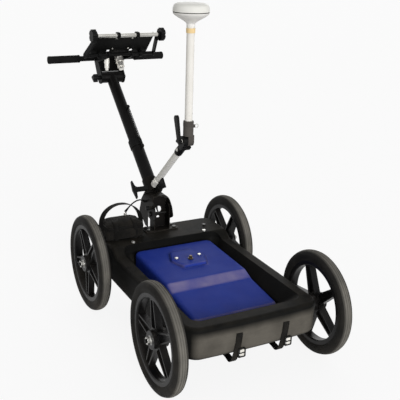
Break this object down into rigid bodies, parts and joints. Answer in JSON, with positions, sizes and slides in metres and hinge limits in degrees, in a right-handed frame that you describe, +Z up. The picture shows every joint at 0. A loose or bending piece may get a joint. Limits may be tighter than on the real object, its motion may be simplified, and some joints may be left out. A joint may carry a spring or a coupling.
{
  "type": "ground penetrating radar cart",
  "caption": "Four-wheeled push cart carrying a ground penetrating radar antenna in slings, with a folding handle column, display tray, battery bag and a satellite receiver on a pole.",
  "frame": {"origin": "middle of the overall box, on the ground", "axes": "+Z up, the cart's front faces -Y, its right-hand wheels seen from the front at +X"},
  "size_m": [0.748, 1.5436, 1.264],
  "materials": {
    "black_moulding": "satin, moulded",
    "steel_fastener": "zinc plated",
    "black_bracket": "satin powder coat",
    "bearing_steel": "ground",
    "black_plastic": "satin, moulded",
    "disc_metal": "plain",
    "webbing": "woven",
    "buckle_metal": "plated",
    "bag_cloth": "woven",
    "battery_case": "moulded",
    "cord_rubber": "satin",
    "blue_shell": "satin gloss",
    "skid": "worn flat",
    "copper": "bare copper",
    "circuit_board": "coated",
    "connector_metal": "nickel plated",
    "tyre_rubber": "ribbed tread",
    "rim_plastic": "satin, moulded",
    "black_tube": "black anodised",
    "grey_tube": "painted light grey",
    "grey_plastic": "satin",
    "pin_steel": "plain",
    "white_tube": "painted white",
    "beige_plastic": "satin",
    "receiver_grey": "satin",
    "receiver_white": "satin gloss",
    "gasket": "matt",
    "grip_rubber": "matt",
    "silver_tube": "bright anodised",
    "tray_sheet": "satin powder coat"
  },
  "bodies": {
    "cart": {"tub": "black_moulding", "cart_bolts": "steel_fastener", "base_bracket": "black_bracket", "pivot_pin": "steel_fastener", "axle_stubs": "black_bracket", "axle_nuts": "steel_fastener", "wheel_bearings": "bearing_steel", "encoder_housing": "black_plastic", "sling_straps": "webbing", "sling_buckles": "buckle_metal", "battery_bag": "bag_cloth", "battery_pack": "battery_case", "bag_strap": "webbing", "power_lead": "cord_rubber", "lead_plug": "black_plastic"},
    "antenna": {"antenna_cover": "blue_shell", "antenna_base": "skid", "antenna_bowties": "copper", "antenna_board": "circuit_board", "antenna_connector": "connector_metal", "antenna_bolts": "steel_fastener"},
    "wheel_front_left": {"tyre_fl": "tyre_rubber", "rim_fl": "rim_plastic"},
    "wheel_front_right": {"tyre_fr": "tyre_rubber", "rim_fr": "rim_plastic"},
    "wheel_rear_left": {"tyre_rl": "tyre_rubber", "rim_rl": "rim_plastic"},
    "wheel_rear_right": {"tyre_rr": "tyre_rubber", "rim_rr": "rim_plastic", "encoder_disc": "disc_metal"},
    "column": {"column_foot": "black_bracket", "lower_column": "black_tube", "cable_cleat": "black_plastic", "gps_bracket": "black_bracket", "gps_arm": "grey_tube", "elbow_base": "black_plastic", "gps_bolts": "steel_fastener"},
    "clamp": {"column_clamp": "black_plastic"},
    "plunger": {"fold_plunger": "black_plastic"},
    "socket": {"elbow_socket": "grey_plastic"},
    "lever": {"elbow_lever": "black_plastic"},
    "pull_pin": {"pole_pin": "pin_steel"},
    "pole": {"gps_pole": "white_tube", "gps_collar": "beige_plastic", "gps_base_shell": "receiver_grey", "gps_gasket": "gasket", "gps_dome": "receiver_white", "gps_board": "circuit_board"},
    "upper": {"upper_column": "black_tube", "curly_cord": "cord_rubber"},
    "head": {"head_yoke": "black_bracket", "handlebar": "black_tube", "grips": "grip_rubber", "tray_arms": "black_bracket", "tray_bar": "silver_tube", "cable_plugs": "black_plastic"},
    "tray": {"tray_plate": "tray_sheet"},
    "tilt_screw": {"tilt_knob": "black_plastic"},
    "tray_screw_left": {"tray_knob_left": "black_plastic"},
    "tray_screw_right": {"tray_knob_right": "black_plastic"}
  },
  "joints": [
    {"name": "wheel_front_left_spin", "type": "hinge", "parent": "cart", "child": "wheel_front_left", "pos_m": [-0.327, -0.56985, 0.2], "axis": [1, 0, 0], "continuous": true},
    {"name": "wheel_front_right_spin", "type": "hinge", "parent": "cart", "child": "wheel_front_right", "pos_m": [0.327, -0.56985, 0.2], "axis": [1, 0, 0], "continuous": true},
    {"name": "wheel_rear_left_spin", "type": "hinge", "parent": "cart", "child": "wheel_rear_left", "pos_m": [-0.327, 0.11215, 0.2], "axis": [1, 0, 0], "continuous": true},
    {"name": "wheel_rear_right_spin", "type": "hinge", "parent": "cart", "child": "wheel_rear_right", "pos_m": [0.327, 0.11215, 0.2], "axis": [1, 0, 0], "continuous": true},
    {"name": "antenna_float", "type": "slide", "parent": "cart", "child": "antenna", "axis": [0, 0, 1], "range_m": [0, 0.05]},
    {"name": "column_fold", "type": "hinge", "parent": "cart", "child": "column", "pos_m": [0, 0.14315, 0.362], "axis": [1, 0, 0], "range_deg": [0, 50], "deforming": ["power_lead"]},
    {"name": "fold_plunger_pull", "type": "slide", "parent": "column", "child": "plunger", "axis": [-1, 0, 0], "range_m": [0, 0.01], "stiffness_N_per_m": 600},
    {"name": "column_height", "type": "slide", "parent": "column", "child": "upper", "axis": [0, 0.7627, 0.6468], "range_m": [-0.13, 0], "deforming": ["curly_cord"]},
    {"name": "clamp_twist", "type": "hinge", "parent": "column", "child": "clamp", "pos_m": [0, 0.39204, 0.59947], "axis": [0, 0.7627, 0.6468], "range_deg": [0, 90]},
    {"name": "head_tilt", "type": "hinge", "parent": "upper", "child": "head", "pos_m": [0, 0.69635, 0.85754], "axis": [1, 0, 0], "range_deg": [-20, 20]},
    {"name": "tilt_knob_turn", "type": "hinge", "parent": "head", "child": "tilt_screw", "pos_m": [0, 0.69635, 0.85754], "axis": [1, 0, 0], "continuous": true},
    {"name": "tray_knob_left_turn", "type": "hinge", "parent": "head", "child": "tray_screw_left", "pos_m": [-0.15, 0.48736, 1.0761], "axis": [1, 0, 0], "continuous": true},
    {"name": "tray_knob_right_turn", "type": "hinge", "parent": "head", "child": "tray_screw_right", "pos_m": [0.15, 0.48736, 1.0761], "axis": [1, 0, 0], "continuous": true},
    {"name": "tray_tilt", "type": "hinge", "parent": "head", "child": "tray", "pos_m": [0, 0.48736, 1.0761], "axis": [1, 0, 0], "range_deg": [0, 40]},
    {"name": "elbow_tilt", "type": "hinge", "parent": "column", "child": "socket", "pos_m": [0, -0.1072, 0.74464], "axis": [1, 0, 0], "range_deg": [-30, 30]},
    {"name": "elbow_lever_turn", "type": "hinge", "parent": "socket", "child": "lever", "pos_m": [-0.03361, -0.1072, 0.74464], "axis": [0, -1, 0], "range_deg": [0, 110]},
    {"name": "pole_lift", "type": "slide", "parent": "socket", "child": "pole", "axis": [0, 0, 1], "range_m": [0, 0.045]},
    {"name": "pole_pin_pull", "type": "slide", "parent": "socket", "child": "pull_pin", "axis": [1, 0, 0], "range_m": [0, 0.008], "stiffness_N_per_m": 400}
  ]
}
